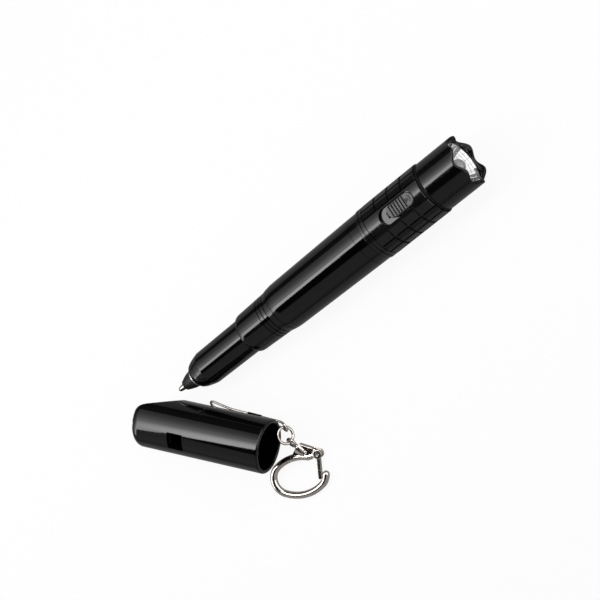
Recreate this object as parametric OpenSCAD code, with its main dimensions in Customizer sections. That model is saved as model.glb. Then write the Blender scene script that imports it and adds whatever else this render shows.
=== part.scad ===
// Flashlight pen with its whistle cap taken off.
// The pen lies along +X with its writing tip at -X, and the cap lies beside it with a ring and a snap hook.
// Pieces of revolution are drawn along their own axis (z = distance from the tip or the closed end,
// x = the side that faces up) and then laid down on the floor z = 0.

/* [Writing end] */
// Length of the bare metal point ahead of the nib cone
point_len = 3.2; // [2.5:0.1:4.5]
// Diameter of the metal point where it leaves the nib cone
point_d = 2.0; // [1.8:0.1:2.2]
// Diameter of the writing ball
ball_d = 0.9; // [0.6:0.1:1.2]
// Diameter of the refill's ink tube
refill_d = 3.0; // [2.8:0.1:3.2]
// Length of the nib cone that shows
nib_len = 5.1; // [4:0.1:7]
// Diameter of the nib cone at its front
nib_front_d = 3.8; // [3.4:0.1:4.4]
// Diameter of the nib cone at the trim ring
nib_rear_d = 6.3; // [6:0.1:6.8]
// Width of the trim ring
trim_len = 0.65; // [0.4:0.05:1.2]
// Diameter of the trim ring
trim_d = 6.7; // [6.5:0.1:7]
// Length of the nose section that shows
nose_len = 26.05; // [20:0.05:34]
// Length of the nose's rounded front
nose_round = 5.8; // [4:0.1:8]
// How much the nose widens from its rounded front to the collar
nose_taper = 0.4; // [0:0.1:1]
// Step from the nose up to the collar's front edge
nose_step = 0.95; // [0.8:0.05:1.2]

/* [Barrel] */
// Length of the collar that the cap grips
collar_len = 14.1; // [11:0.1:18]
// How much the collar widens from its rounded front edge to the barrel
collar_taper = 0.9; // [0:0.1:1.2]
// Step from the collar up to the barrel behind its shoulder
collar_step = 0.65; // [0.4:0.05:0.8]
// Length of the barrel up to its end ring
barrel_len = 40.8; // [34:0.1:52]
// Length of the barrel's rounded shoulder
shoulder_len = 4.7; // [3:0.1:7]
// How much the barrel widens from its shoulder to its end ring
barrel_taper = 1.05; // [0.4:0.05:1.4]
// Wall of the barrel at its end ring
barrel_wall = 2.125; // [2:0.025:2.5]
// Length of the end ring
end_ring_len = 3.5; // [2:0.1:6]

/* [Light] */
// Diameter of one button cell
cell_d = 11.6; // [9.6:0.1:14]
// Height of one button cell
cell_h = 5.4; // [4.2:0.1:5.6]
// Number of button cells
cell_count = 3; // [2:1:3]
// Room round the cells
cell_gap = 0.3; // [0.2:0.05:0.4]
// Wall of the spigot that screws into the barrel
spigot_wall = 0.64; // [0.6:0.02:0.8]
// Wall from the cell bore out to the tiles
grip_wall = 3.15; // [3.1:0.05:3.8]
// Step from the tiles down to the bands ahead of them
band_drop = 0.05; // [0:0.05:0.2]
// Width of each of the two bands
band_len = 1.5; // [1:0.1:3]
// Rows of tiles along the grip
tile_rows = 4; // [3:1:6]
// Places for tiles round the grip; the switch takes two of them
tile_columns = 16; // [12:2:24]
// Distance between two rows of tiles
tile_pitch = 5.62; // [5:0.02:7]
// Width of the grooves between tiles
groove_w = 0.7; // [0.4:0.1:1]
// Depth of the grooves between tiles
groove_h = 0.5; // [0.3:0.1:0.7]
// Gap that shows the seal between grip and head
seal_len = 1.0; // [0.8:0.1:1.6]
// Length of the head, crown included
head_len = 17.5; // [16:0.1:24]
// Wall from the cell bore out to the head's seat
head_seat_wall = 1.87; // [1.7:0.01:2]
// Wall of the head
head_wall = 0.9; // [0.8:0.05:1.2]
// Ledge that keeps the lens in
lens_ledge = 0.5; // [0.3:0.05:0.7]
// Number of lobes on the crown
crown_lobes = 6; // [5:1:8]
// Turn of the crown against the switch
crown_turn = -10; // [-30:1:30]
// Depth of the hollows between the lobes
crown_depth = 1.9; // [1:0.1:2.4]
// Distance from the lens back to the tips of the crown
lens_inset = 2.8; // [2.6:0.1:4]
// Thickness of the lens
lens_t = 1.3; // [1:0.1:2]

/* [Switch] */
// Length of the recess that the button slides in
recess_len = 14.2; // [12:0.1:17]
// Width of the recess
recess_w = 5.6; // [5:0.1:6]
// Depth of the recess below the tiles
recess_depth = 1.35; // [1.1:0.05:1.5]
// Distance from the middle of the tiles to the middle of the recess
recess_shift = 1.1; // [0:0.1:2]
// Length of the button
button_len = 10.5; // [8.5:0.1:11.5]
// Width of the button
button_w = 4.7; // [4.2:0.1:4.9]
// Height that the button stands above the tiles
button_proud = 0.15; // [-0.2:0.05:0.8]
// Number of finger ribs on the button
rib_count = 7; // [4:1:8]

/* [Cap] */
// Length of the cap
cap_len = 48.8; // [46:0.1:56]
// Room between the cap's bore and the collar
cap_gap = 0.2; // [0.1:0.05:0.3]
// Wall of the cap
cap_wall = 1.35; // [1.2:0.05:1.8]
// Rounding of the closed end
cap_round = 3.0; // [2:0.1:4]
// Distance from the closed end to the middle of the whistle's window
window_at = 17.6; // [15:0.1:19]
// Length of the window along the cap
window_len = 5.8; // [4:0.1:6.4]
// Width of the window
window_w = 6.4; // [4:0.1:6.8]
// Turn of the window from the top of the cap, away from the pen
window_turn = 18; // [0:1:40]
// Height of the whistle's windway
windway_h = 1.2; // [0.8:0.1:1.4]
// Length of the bevel on the mouthpiece
bevel_len = 14.5; // [12:0.5:18]
// Depth of the bevel at the closed end
bevel_depth = 4.2; // [2:0.1:4.5]
// Turn of the bevel from the top of the cap
bevel_turn = -102; // [-110:1:-90]
// Wire of the clip
clip_wire = 0.86; // [0.7:0.02:1]
// Distance between the legs of the clip
clip_gap = 3.2; // [2.8:0.1:3.4]
// Distance from the closed end to the lifted end of the clip
clip_end = 21.8; // [20:0.1:26]
// Height that the lifted end of the clip stands off the cap
clip_lift = 1.1; // [0.8:0.1:1.3]
// Turn of the clip from the top of the cap, at the mouth
clip_turn = -142; // [-143:1:-136]
// Slant of the clip across the cap
clip_skew = 3.5; // [2:0.5:5]

/* [Ring and hook] */
// Diameter of the ring, from middle to middle of its wire
ring_d = 5.7; // [5.5:0.05:5.9]
// Wire of the ring
ring_wire = 1.0; // [0.8:0.05:1.1]
// Diameter of the swivel's eye, from middle to middle of its wire
eye_d = 3.2; // [3.1:0.1:3.6]
// Wire of the swivel's eye
eye_wire = 1.0; // [0.9:0.05:1.1]
// Diameter of the swivel's stem
stem_d = 1.5; // [1.3:0.05:1.6]
// Thickness of the hook's round bar
hook_wire = 2.5; // [2:0.1:2.8]
// Half width of the hook's loop, to the middle of its bar
hook_a = 9.85; // [9.5:0.05:10.3]
// Half height of the hook's loop, to the middle of its bar
hook_b = 6.5; // [6.3:0.05:6.9]
// Radius of the loop's two tight bends
hook_bend = 5.35; // [5.1:0.05:5.6]
// Distance from the swivel's eye to the middle of the loop, along the stem
hook_along = 8.5; // [8.2:0.1:9]
// Distance from the stem to the middle of the loop
hook_across = 8.0; // [7.7:0.1:8.4]
// Lean of the loop from the stem
hook_lean = 37.5; // [35:0.5:40]
// Width of the gate
gate_w = 1.3; // [1:0.1:1.6]
// Thickness of the gate
gate_t = 1.3; // [1:0.1:1.4]
// Diameter of the gate's pin
gate_pin_d = 0.9; // [0.7:0.05:1]

/* [Layout] */
// Turn of the pen about its own axis, so that the switch leans away from the cap
pen_roll = -5; // [-15:1:15]
// Place of the cap's closed end along the pen, from the tip
cap_x = -17.3; // [-30:0.1:-16]
// Place of the cap's closed end to the side of the pen's axis
cap_y = 0; // [-10:0.1:3]
// Direction of the cap, from closed end to mouth
cap_turn = -44.2; // [-60:0.1:-30]
// Direction of the swivel's stem on the floor
hook_turn = -71.5; // [-75:0.5:-68]
// Place of the tip along X
tip_x = -57.5; // [-80:0.1:-40]
// Place of the pen's axis along Y
axis_y = 23.15; // [0:0.05:40]

/* [Hidden] */
$fn = 64;

// Clearances: pieces pressed or screwed together, pieces that slide or turn, faces that part, and links
fit = 0.03;
run = 0.06;
part_gap = 0.12;
link_gap = 0.16;
// Overlap of a cutter past the face that it opens
cut = 1;

// Places along the pen, counted from the tip
nib_z = point_len;
trim_z = nib_z + nib_len;
nose_z = trim_z + trim_len;
collar_z = nose_z + nose_len;
barrel_z = collar_z + collar_len;
end_ring_z = barrel_z + barrel_len;
band_z = end_ring_z + end_ring_len;
tile_z = band_z + 2 * band_len;
seal_z = tile_z + tile_rows * tile_pitch;
head_z = seal_z + seal_len;
crown_z = head_z + head_len;

// Diameters, worked outwards from the cells and then forwards to the nose
cell_bore_d = cell_d + 2 * cell_gap;
light_spigot_r = cell_bore_d / 2 + spigot_wall;
barrel_bore_d = 2 * (light_spigot_r + run);
barrel_rear_d = barrel_bore_d + 2 * barrel_wall;
barrel_front_d = barrel_rear_d - barrel_taper;
collar_rear_d = barrel_front_d - 2 * collar_step;
collar_front_d = collar_rear_d - collar_taper;
nose_rear_d = collar_front_d - 2 * nose_step;
nose_d = nose_rear_d - nose_taper;
nose_front_d = trim_d + 0.3;
grip_d = cell_bore_d + 2 * grip_wall;
band_d = grip_d - 2 * band_drop;
head_spigot_r = cell_bore_d / 2 + head_seat_wall;
head_bore_d = 2 * (head_spigot_r + fit);
head_d = head_bore_d + 2 * head_wall;
crown_d = head_bore_d - 2 * lens_ledge;

// Spigots that join the sections: radius and length
nib_spigot_r = nib_rear_d / 2 - 0.55;
nib_spigot_len = 5.2;
nose_spigot_r = nose_rear_d / 2 - 0.85;
nose_spigot_len = 10;
nose_wall = 0.8;
nose_power = 0.45;
collar_spigot_r = collar_rear_d / 2 - 1.25;
collar_spigot_len = 8;
light_spigot_len = 10.4;
head_spigot_len = 5;

// Refill
ball_r = ball_d / 2;
refill_r = refill_d / 2;
refill_wall = 0.6;
stop_len = 5;
stop_z = end_ring_z - 16;
stop_depth = 4;

// Lines turned into the pen's surface: fine ones, and wider ones where sections meet or the cap grips
line_w = 0.25;
line_h = 0.16;
wide_line_w = 0.35;
wide_line_h = 0.3;
nose_lines = [1.1, 3.2];
collar_lines = [0.76, 0.865, 0.975];
shoulder_line = 2.2;
shoulder_share = 0.68;

// Small roundings
nib_edge = 0.4;
small_edge = 0.15;
edge = 0.2;
crown_edge = 0.35;
collar_round = 2;
mouth_edge_out = 0.7;
mouth_edge_in = 0.4;

// Light: stack of pieces in the grip and head
cell_r = cell_d / 2;
board_t = 1.2;
board_z = head_z + head_spigot_len;
plate_t = 0.5;
cells_top = board_z - 2.2 - plate_t;
cells_z = cells_top - cell_count * cell_h;
plug_z = band_z - light_spigot_len;
plug_len = 9;
spring_wire = 0.6;
spring_r = 4.2;
spring_turns = 5;
led_r = 2.5;
led_flange_r = 2.9;
led_flange_t = 1;
led_body = 2.2;
lens_z = crown_z - lens_inset - lens_t;
seal_t = 0.5;
reflector_z = board_z + board_t;
reflector_top = lens_z - seal_t;
reflector_wall = 0.7;
front_r = head_bore_d / 2 - fit;
o_ring_r = 0.43;

// Switch
recess_z = (tile_z + seal_z) / 2 + recess_shift;
recess_floor = grip_d / 2 - recess_depth;
button_top = grip_d / 2 + button_proud;
button_gap = 0.2;
button_travel = recess_len - button_len - 2 * button_gap;
button_z = recess_z + (recess_len - button_len) / 2 - button_gap;
slide_gap = 0.15;
button_base = recess_floor + slide_gap;
stem_len = 5;
stem_w = 1.9;
slider_len = 8;
slider_w = 4;
slider_t = 0.75;
// The floor of the recess is a web that the button and the slider hold between them
web_t = 0.75;
slider_top = recess_floor - web_t - slide_gap;
slot_len = stem_len + button_travel + 4 * slide_gap;
slot_w = stem_w + 2 * slide_gap;
pocket_len = slider_len + button_travel + 4 * slide_gap;
pocket_w = slider_w + 2 * slide_gap;
rib_pitch = (button_len - 2.4) / rib_count;
rib_h = 0.35;

// Cap
cap_bore_r = collar_rear_d / 2 + cap_gap;
cap_r = cap_bore_r + cap_wall;
cap_d = 2 * cap_r;
cap_end_t = 1.8;
tip_seat = cap_end_t + 2;
nib_room_r = trim_d / 2 + 0.85;
nib_room_z = tip_seat + trim_z;
nose_room_r = nose_rear_d / 2 + 0.25;
nose_room_z = nib_room_z + 4.5;
bore_z = nose_room_z + 4;
bevel_foot = [cap_r - bevel_depth, 0.5];
bevel_inner = [bevel_foot[0] - 4.5, -0.2];
windway_top = cap_bore_r - 0.05;
block_floor = cap_bore_r - 2.55;
block_z = 1;
block_end = window_at - window_len / 2 - 0.6;
clip_r = clip_wire / 2;
clip_x = cap_r + clip_r + fit;
clip_rise_z = clip_end + 8.5;
saddle_z = cap_len - 12;
saddle_len = 5;
saddle_foot = 1.3;
saddle_top = clip_x + 0.1;
saddle_sink = 0.5;
lug_r = clip_r + 0.18;

// Eyelet of the clip, turned in a little past the mouth of the cap; it stays outside the bore
eyelet_start = 0.5;
eyelet_turn = 30;
eyelet_run = 1.08;
eyelet_x = clip_x - eyelet_run * sin(eyelet_turn);
eyelet_out = eyelet_start + eyelet_run * cos(eyelet_turn);

// Ring: it lies loose in the eyelet with its lower edge near the floor, and the swivel's eye hangs in it
ring_r = ring_d / 2;
ring_wire_r = ring_wire / 2;
ring_past = 2.65;
ring_aside = 3.08;
ring_tilt = 54.6;
ring_face = 28.4;
ring_z = ring_wire_r + ring_r * sin(ring_tilt) + 0.2;
eye_r = eye_d / 2;
eye_wire_r = eye_wire / 2;
eye_hang = eye_r - eye_wire_r - ring_wire_r - link_gap;

// Pen at rest: it lies on the edge of the first band and on the barrel's shoulder
band_edge = 0.15;
rest_x = [barrel_z + shoulder_len, band_z + part_gap + band_edge];
rest_r = [barrel_front_d / 2, band_d / 2];
rest_tilt = atan2(rest_r[1] - rest_r[0], rest_x[1] - rest_x[0]);
tip_rise = rest_r[0] * cos(rest_tilt) - rest_x[0] * sin(rest_tilt);

// Ring and hook in the part's own frame
up = [0, 0, 1];
cap_axis = [cos(cap_turn), sin(cap_turn), 0];
cap_side = [-sin(cap_turn), cos(cap_turn), 0];
clip_out = cos(clip_turn) * up - sin(clip_turn) * cap_side;
clip_y = -sin(clip_turn) * up - cos(clip_turn) * cap_side;
clip_across = cos(clip_skew) * clip_y + sin(clip_skew) * cap_axis;
clip_along = cos(clip_skew) * cap_axis - sin(clip_skew) * clip_y;
cap_foot = [tip_x + cap_x, axis_y + cap_y, cap_r];
eyelet_at = cap_foot + cap_len * cap_axis + eyelet_x * clip_out + eyelet_out * clip_along;
// The ring swings out on the upper leg of the eyelet
link_at = eyelet_at + clip_gap / 2 * clip_across;
ring_axis = sin(ring_tilt) * (cos(ring_face) * cap_axis + sin(ring_face) * cap_side) + cos(ring_tilt) * up;
ring_foot = cap_foot + (cap_len + ring_past) * cap_axis + ring_aside * cap_side;
ring_mid = [ring_foot[0], ring_foot[1], ring_z];
hook_heading = [cos(hook_turn), sin(hook_turn), 0];
ring_lean = hook_heading - (hook_heading * ring_axis) * ring_axis;
ring_way = ring_lean / norm(ring_lean);
ring_far = ring_mid + ring_r * ring_way;
eye_at = ring_far + eye_hang * ring_way;

// Hook: a loop of four arcs, a nut for the swivel's stem on its upper side and a slotted boss for the gate
hook_r = hook_wire / 2;
hook_big = (pow(hook_a, 2) + pow(hook_b, 2) - 2 * hook_a * hook_bend) / (2 * (hook_b - hook_bend));
hook_off = hook_big - hook_b;
hook_side = hook_a - hook_bend;
hook_angle = atan2(hook_side, hook_off);
hook_low = hook_along + hook_side * sin(hook_lean) + hook_bend;
hook_droop = asin((eye_at[2] - hook_r - 0.03) / hook_low);
hook_x = [cos(hook_droop) * cos(hook_turn), cos(hook_droop) * sin(hook_turn), -sin(hook_droop)];
hook_y = [-sin(hook_turn), cos(hook_turn), 0];
hook_z = cross(hook_x, hook_y);
loop_at = eye_at + hook_along * hook_x - hook_across * hook_y;
eye_normal = cross(ring_axis, ring_way);
eye_roll = atan2(eye_normal * hook_z, eye_normal * hook_y);
swivel_r = 1.75;
swivel_z = eye_r + eye_wire_r + 0.35;
swivel_end = swivel_z + 2.6;
rivet_r = 1.3;
rivet_t = 0.7;
rivet_room = 0.2;
// Ends of the loop: the nose that the gate shuts against, and the end of the upper arc
nose_angle = 73;
top_span = 21;
top_end = [hook_off - hook_big * cos(top_span), hook_big * sin(top_span)];
pin_at = [0.8 - hook_b, hook_a - 0.5];
boss_r = 1.6;
boss_t = gate_t + 1.5;
slot_t = gate_t + 0.2;
slot_r = boss_r + 1.3;
hood_t = hook_wire - 0.4;
gate_boss_r = boss_r - 0.25;
gate_tip_x = 2.2;
nose_inside = hook_side + sqrt(pow(hook_bend, 2) - pow(gate_tip_x, 2)) - hook_r;
gate_tip = [gate_tip_x, nose_inside - gate_w / 2 - 0.2];
gate_room = 0.2;
gate_len = norm(gate_tip - pin_at);
gate_lean = atan2(gate_tip[1] - pin_at[1], gate_tip[0] - pin_at[0]);
gate_spring_wire = 0.3;
gate_spring_r = gate_pin_d / 2 + 0.3;
gate_pocket_r = gate_spring_r + gate_spring_wire / 2 + 0.15;
gate_pocket_h = gate_spring_wire + 0.25;
gate_spring_z = gate_t / 2 - gate_spring_wire / 2 - 0.1;
// Height of the cast seam where two arcs of the loop meet, and the angle that one runs into the other
seam = 0.03;
lap = 2;

// Colours
black = [0.03, 0.03, 0.035];
matte_black = [0.06, 0.06, 0.06];
nickel = [0.80, 0.76, 0.73];
steel = [0.72, 0.72, 0.74];

// Laying the pieces down

module lay_pen()
    translate([tip_x, axis_y, tip_rise])
        rotate([0, -rest_tilt, 0])
            rotate([pen_roll, 0, 0])
                rotate([180, -90, 0])
                    children();

module lay_cap()
    translate(cap_foot)
        rotate([0, 0, cap_turn])
            rotate([180, -90, 0])
                children();

// Clip frame: x out of the cap, z along the clip
module lay_clip()
    lay_cap()
        rotate([0, 0, clip_turn])
            translate([0, 0, cap_len])
                rotate([clip_skew, 0, 0])
                    translate([0, 0, -cap_len])
                        children();

// Ring frame: z along the ring's axis
module lay_ring()
    translate(ring_mid)
        rotate([0, acos(ring_axis[2]), atan2(ring_axis[1], ring_axis[0])])
            children();

// Stem frame: x along the swivel's stem from its eye, z out of the hook's plane
module lay_hook() translate(eye_at) rotate([0, hook_droop, hook_turn]) children();

// Loop frame: x to the far side of the loop, y to the gate
module in_loop() translate([hook_along, -hook_across, 0]) rotate([0, 0, -hook_lean]) children();
module lay_loop() lay_hook() in_loop() children();

// Shared shapes

module turned(points) rotate_extrude() polygon(points);

module tube(r_out, r_in, z, len)
    translate([0, 0, z])
        difference() {
            cylinder(r = r_out, h = len);
            translate([0, 0, -cut]) cylinder(r = r_in, h = len + 2 * cut);
        }

module ring_line(r, z, w = line_w, h = line_h) tube(r + cut, r - h, z - w / 2, w);

module stadium(len, w, z, h)
    translate([0, 0, z])
        linear_extrude(h)
            union() {
                square([len - w, w], center = true);
                for (side = [-1, 1]) translate([side * (len - w) / 2, 0]) circle(d = w);
            }

// A flat shape with its length along the pen and its height along x
module on_top(z) translate([0, 0, z]) rotate([0, 90, 0]) children();

module bent(r, wire_r, from, to)
    rotate([0, 0, from])
        rotate_extrude(angle = to - from)
            translate([r, 0])
                circle(wire_r, $fn = 32);

// Rounded run from one radius to another, for turned profiles
function swell(z, len, r0, r1, power, steps) =
    [for (i = [0 : steps]) let (u = pow(i / steps, 2)) [r0 + (r1 - r0) * pow(u, power), z + len * u]];

function corner(r, z, size, from, steps = 8) =
    [for (i = [0 : steps]) let (a = from + 90 * i / steps) [r + size * cos(a), z + size * sin(a)]];

function line_radius(r0, r1, share) = r0 + (r1 - r0) * share;

// Corner at q between p and s, drawn as a parabola
function bend(p, q, s, size, steps = 4) =
    let (a = q + size * (p - q) / norm(p - q), b = q + size * (s - q) / norm(s - q))
    [for (i = [0 : steps]) let (t = i / steps) (1 - t) * (1 - t) * a + 2 * t * (1 - t) * q + t * t * b];

// Middle line of one leg of the clip, as [out of the cap, along the cap]
function clip_leg() =
    let (lifted = [clip_x + clip_lift, clip_end + clip_gap / 2],
         rise = [clip_x, clip_rise_z],
         turn_in = [clip_x, cap_len + eyelet_start],
         eyelet = turn_in + eyelet_run * [-sin(eyelet_turn), cos(eyelet_turn)])
    concat([lifted], bend(lifted, rise, turn_in, 1.2),
           bend(rise, turn_in, eyelet, 0.7 * eyelet_run), [eyelet]);

// Places round the closed clip: each is [place, direction of the wire, normal of the clip's sheet]
function clip_rings() =
    let (leg = clip_leg(),
         last = len(leg) - 1,
         half = clip_gap / 2,
         steps = 12,
         way = [for (i = [0 : last]) let (d = leg[min(i + 1, last)] - leg[max(i - 1, 0)]) d / norm(d)],
         flat = [for (d = way) [-d[1], 0, d[0]]],
         ahead = [for (d = way) [d[0], 0, d[1]]],
         across = [0, 1, 0])
    concat(
        [for (i = [0 : last]) [[leg[i][0], half, leg[i][1]], ahead[i], flat[i]]],
        [for (j = [1 : steps - 1]) let (a = 180 * j / steps)
            [[leg[last][0], 0, leg[last][1]] + half * (cos(a) * across + sin(a) * ahead[last]),
             cos(a) * ahead[last] - sin(a) * across, flat[last]]],
        [for (i = [last : -1 : 0]) [[leg[i][0], -half, leg[i][1]], -ahead[i], flat[i]]],
        [for (j = [1 : steps - 1]) let (a = 180 * j / steps)
            [[leg[0][0], 0, leg[0][1]] - half * (cos(a) * across + sin(a) * ahead[0]),
             sin(a) * across - cos(a) * ahead[0], flat[0]]]);

module closed_wire(rings, wire_r, sides) {
    count = len(rings);
    points = [for (k = rings, s = [0 : sides - 1]) let (b = 360 * s / sides)
        k[0] + wire_r * (cos(b) * k[2] + sin(b) * cross(k[1], k[2]))];
    polyhedron(points, [for (i = [0 : count - 1], s = [0 : sides - 1])
        let (j = (i + 1) % count, t = (s + 1) % sides) each [
            [i * sides + s, j * sides + s, j * sides + t],
            [i * sides + s, j * sides + t, i * sides + t]]]);
}

// A round wire wound from z0 to z1
function coil_ring(a, r, wire_r, z, sides) =
    [for (s = [0 : sides - 1]) let (b = 360 * s / sides, w = r + wire_r * cos(b))
        [w * cos(a), w * sin(a), z + wire_r * sin(b)]];

module coil(r, wire_r, z0, z1, turns, per_turn = 16, sides = 8) {
    last = turns * per_turn;
    points = [for (i = [0 : last]) let (z = z0 + (z1 - z0) * i / last)
        each coil_ring(360 * i / per_turn, r, wire_r, z, sides)];
    skin = [for (i = [0 : last - 1], s = [0 : sides - 1]) let (t = (s + 1) % sides) each [
        [i * sides + s, (i + 1) * sides + s, (i + 1) * sides + t],
        [i * sides + s, (i + 1) * sides + t, i * sides + t]]];
    top = last * sides;
    ends = [for (s = [1 : sides - 2]) each [[0, s, s + 1], [top, top + s + 1, top + s]]];
    polyhedron(points, concat(skin, ends));
}

// Writing end

module writing_ball() color(steel) lay_pen() translate([0, 0, ball_r]) sphere(ball_r);

module refill_point()
    color(nickel) lay_pen()
        difference() {
            turned([[0, ball_r], [ball_r + 0.15, ball_r], [point_d / 2, nib_z], [point_d / 2, nose_z],
                    [refill_r - refill_wall - fit, nose_z], [refill_r - refill_wall - fit, nose_z + 4],
                    [0, nose_z + 4]]);
            translate([0, 0, ball_r]) sphere(ball_r + 0.02);
        }

module refill_tube()
    color("whitesmoke") lay_pen()
        tube(refill_r, refill_r - refill_wall, nose_z, stop_z + stop_depth - nose_z);

module nib_cone()
    color(matte_black) lay_pen()
        difference() {
            turned(concat([[0, nib_z]],
                          corner(nib_front_d / 2 - nib_edge, nib_z + nib_edge, nib_edge, -90),
                          [for (u = [0.15 : 0.17 : 1])
                              [line_radius(nib_front_d, nib_rear_d, sin(90 * u)) / 2,
                               nib_z + nib_edge + (nib_len - nib_edge) * u]],
                          [[nib_rear_d / 2, trim_z], [nib_spigot_r, trim_z],
                           [nib_spigot_r, nose_z + nib_spigot_len], [0, nose_z + nib_spigot_len]]));
            translate([0, 0, nib_z - cut])
                cylinder(d = point_d + 2 * fit, h = nib_len + trim_len + 2 * cut);
            translate([0, 0, nose_z]) cylinder(r = refill_r + fit, h = nib_spigot_len + cut);
        }

module trim_ring()
    color(nickel) lay_pen()
        turned([[nib_spigot_r + fit, trim_z], [trim_d / 2 - small_edge, trim_z],
                [trim_d / 2, trim_z + small_edge], [trim_d / 2, nose_z - small_edge],
                [trim_d / 2 - small_edge, nose_z], [nib_spigot_r + fit, nose_z]]);

module nose_section()
    color(black) lay_pen()
        difference() {
            turned(concat([[0, nose_z]],
                          swell(nose_z, nose_round, nose_front_d / 2, nose_d / 2, nose_power, 9),
                          [[nose_rear_d / 2, collar_z], [nose_spigot_r, collar_z],
                           [nose_spigot_r, collar_z + nose_spigot_len],
                           [0, collar_z + nose_spigot_len]]));
            translate([0, 0, nose_z - cut])
                cylinder(r = nib_spigot_r + fit, h = nib_spigot_len + 2 * cut);
            translate([0, 0, nose_z + nib_spigot_len + cut / 2])
                cylinder(r = nose_spigot_r - nose_wall, h = nose_len + nose_spigot_len);
            for (z = nose_lines)
                ring_line(line_radius(nose_front_d, nose_d, pow(z / nose_round, nose_power)) / 2,
                          nose_z + z);
        }

// Barrel

module front_collar()
    color(black) lay_pen()
        difference() {
            turned(concat([[0, collar_z]],
                          [[nose_rear_d / 2 + small_edge / 2, collar_z]],
                          [for (u = [0 : 0.2 : 1])
                              [line_radius(nose_rear_d + 2 * small_edge, collar_front_d, sin(90 * u)) / 2,
                               collar_z + small_edge + collar_round * (1 - cos(90 * u))]],
                          [[collar_rear_d / 2, barrel_z], [collar_spigot_r, barrel_z],
                           [collar_spigot_r, barrel_z + collar_spigot_len],
                           [0, barrel_z + collar_spigot_len]]));
            translate([0, 0, collar_z - cut])
                cylinder(r = nose_spigot_r + fit, h = nose_spigot_len + cut);
            translate([0, 0, collar_z])
                cylinder(r = nose_spigot_r - nose_wall, h = collar_len + collar_spigot_len + cut);
            for (share = collar_lines)
                ring_line(line_radius(collar_front_d, collar_rear_d, share) / 2,
                          collar_z + collar_len * share, wide_line_w, wide_line_h);
        }

module barrel()
    color(black) lay_pen()
        difference() {
            turned(concat([[0, barrel_z]],
                          [for (u = [0 : 0.125 : 1])
                              [line_radius(collar_rear_d + small_edge, barrel_front_d, sin(90 * u)) / 2,
                               barrel_z + shoulder_len * u]],
                          [[barrel_rear_d / 2, end_ring_z], [0, end_ring_z]]));
            translate([0, 0, barrel_z - cut])
                cylinder(r = collar_spigot_r + fit, h = collar_spigot_len + cut + seam);
            translate([0, 0, barrel_z + collar_spigot_len])
                cylinder(d = barrel_bore_d, h = barrel_len);
            ring_line(line_radius(collar_rear_d, barrel_front_d, shoulder_share) / 2,
                      barrel_z + shoulder_line);
        }

module barrel_end_ring()
    color(black) lay_pen()
        difference() {
            tube(barrel_rear_d / 2, barrel_bore_d / 2, end_ring_z, end_ring_len);
            ring_line(barrel_rear_d / 2, end_ring_z);
        }

module refill_stop()
    color("gray") lay_pen()
        difference() {
            translate([0, 0, stop_z]) cylinder(d = barrel_bore_d - 2 * part_gap, h = stop_len);
            translate([0, 0, stop_z - cut]) cylinder(r = refill_r + fit, h = stop_depth + cut);
        }

// Light

module tile_grooves() {
    step = 360 / tile_columns;
    ring_span = 360 - 2 * step;
    for (row = [1 : tile_rows - 1])
        translate([0, 0, tile_z + row * tile_pitch - groove_w / 2])
            rotate([0, 0, step])
                rotate_extrude(angle = ring_span)
                    translate([grip_d / 2 - groove_h, 0])
                        square([groove_h + cut, groove_w]);
    for (column = [1 : tile_columns - 1])
        rotate([0, 0, column * step])
            translate([grip_d / 2 - groove_h, -groove_w / 2, tile_z])
                cube([groove_h + cut, groove_w, tile_rows * tile_pitch + cut]);
}

module switch_cut() {
    on_top(recess_z) stadium(recess_len, recess_w, recess_floor, grip_d);
    stem_mid = button_z - button_travel / 2;
    translate([0, -slot_w / 2, stem_mid - slot_len / 2]) cube([recess_floor + cut, slot_w, slot_len]);
    translate([0, -pocket_w / 2, stem_mid - pocket_len / 2])
        cube([recess_floor - web_t, pocket_w, pocket_len]);
}

module grip_sleeve()
    color(black) lay_pen()
        difference() {
            union() {
                translate([0, 0, plug_z])
                    cylinder(r = light_spigot_r, h = light_spigot_len + 2 * part_gap);
                turned([[0, band_z + part_gap], [band_d / 2 - band_edge, band_z + part_gap],
                        [band_d / 2, band_z + part_gap + band_edge], [band_d / 2, tile_z],
                        [grip_d / 2, tile_z], [grip_d / 2, seal_z - edge], [grip_d / 2 - edge, seal_z],
                        [0, seal_z]]);
                translate([0, 0, tile_z]) cylinder(r = head_spigot_r, h = board_z - tile_z);
            }
            tile_grooves();
            for (z = [band_z + band_len, tile_z]) ring_line(grip_d / 2, z, wide_line_w, wide_line_h);
            translate([0, 0, plug_z - cut]) cylinder(d = cell_bore_d, h = board_z - plug_z + 2 * cut);
            switch_cut();
        }

module battery_plug()
    color("dimgray") lay_pen()
        translate([0, 0, plug_z]) cylinder(d = cell_bore_d - 2 * fit, h = plug_len);

module cell_spring()
    color(steel) lay_pen()
        coil(spring_r, spring_wire / 2, plug_z + plug_len + spring_wire / 2 + 0.03,
             cells_z - spring_wire / 2 - 0.03, spring_turns);

module button_cells()
    color("silver") lay_pen()
        for (i = [0 : cell_count - 1])
            turned([[0, cells_z + i * cell_h + 0.02], [cell_r - 0.9, cells_z + i * cell_h + 0.02],
                    [cell_r - 0.9, cells_z + i * cell_h + 0.4], [cell_r, cells_z + i * cell_h + 0.4],
                    [cell_r, cells_z + (i + 1) * cell_h], [0, cells_z + (i + 1) * cell_h]]);

module contact_plate()
    color("gold") lay_pen() {
        translate([0, 0, cells_top]) cylinder(r = cell_r, h = plate_t);
        translate([0, 0, cells_top]) cylinder(r = 1.4, h = board_z - cells_top);
    }

module led_board()
    color("seagreen") lay_pen()
        translate([0, 0, board_z]) cylinder(r = front_r, h = board_t);

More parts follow.
